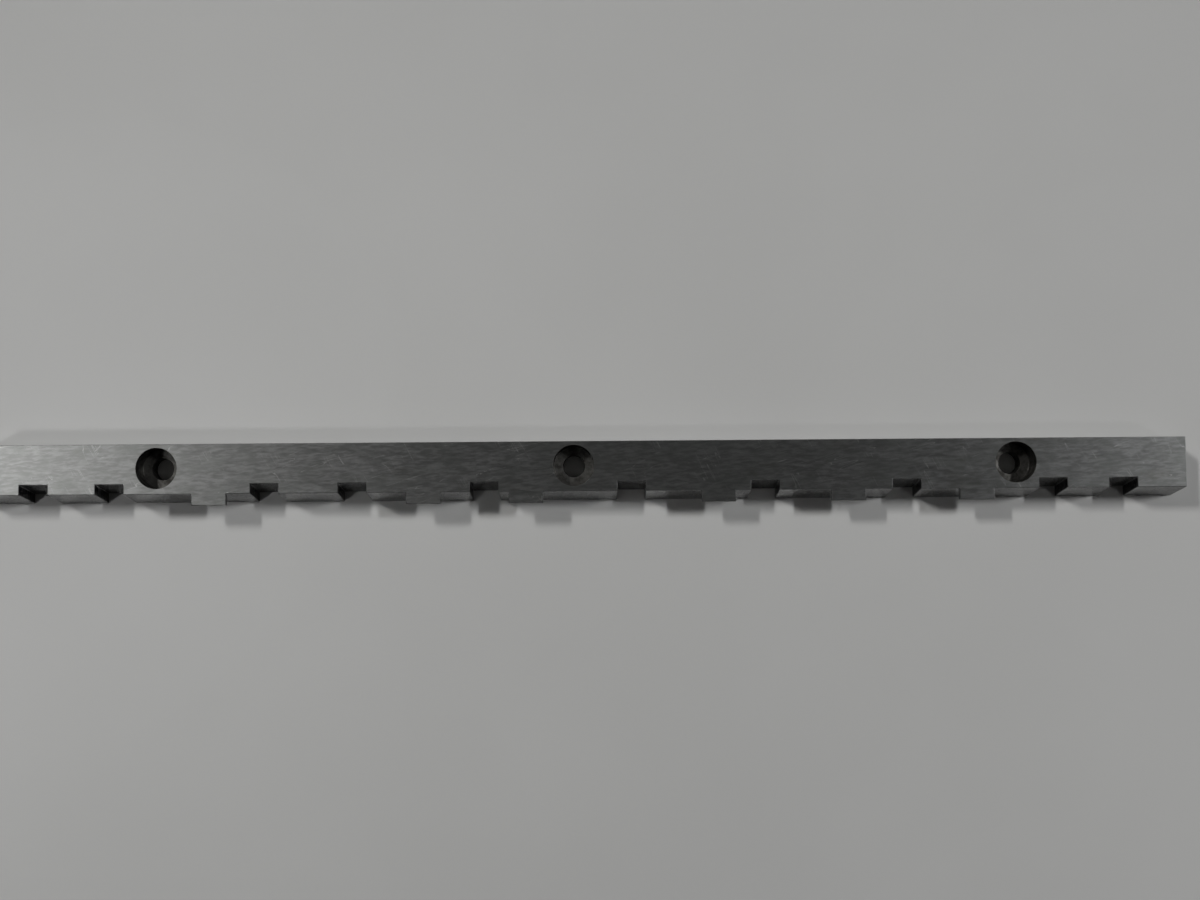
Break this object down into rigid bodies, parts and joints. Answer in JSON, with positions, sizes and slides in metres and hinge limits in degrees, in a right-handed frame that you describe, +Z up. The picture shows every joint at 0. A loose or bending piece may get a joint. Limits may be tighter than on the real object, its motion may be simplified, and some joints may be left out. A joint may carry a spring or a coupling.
{
  "type": "slotted rail",
  "caption": "Ground steel bar with a leaning slotted front face, thin lips flush with its top, and counterbored screw holes.",
  "frame": {"origin": "on the underside, at the centre of the whole part's length and depth, lips included", "axes": "+X along the bar to its right end, seen from above with the lips toward the viewer; +Y out of the plain back face; +Z up out of the counterbored top"},
  "size_m": [0.3, 0.0152, 0.01],
  "materials": {
    "ground_steel": "plain steel, ground on the faces with fine lengthwise grain, milled in the slots and counterbores, lightly scratched"
  },
  "bodies": {
    "root": {"slotted_rail": "ground_steel"}
  },
  "joints": []
}
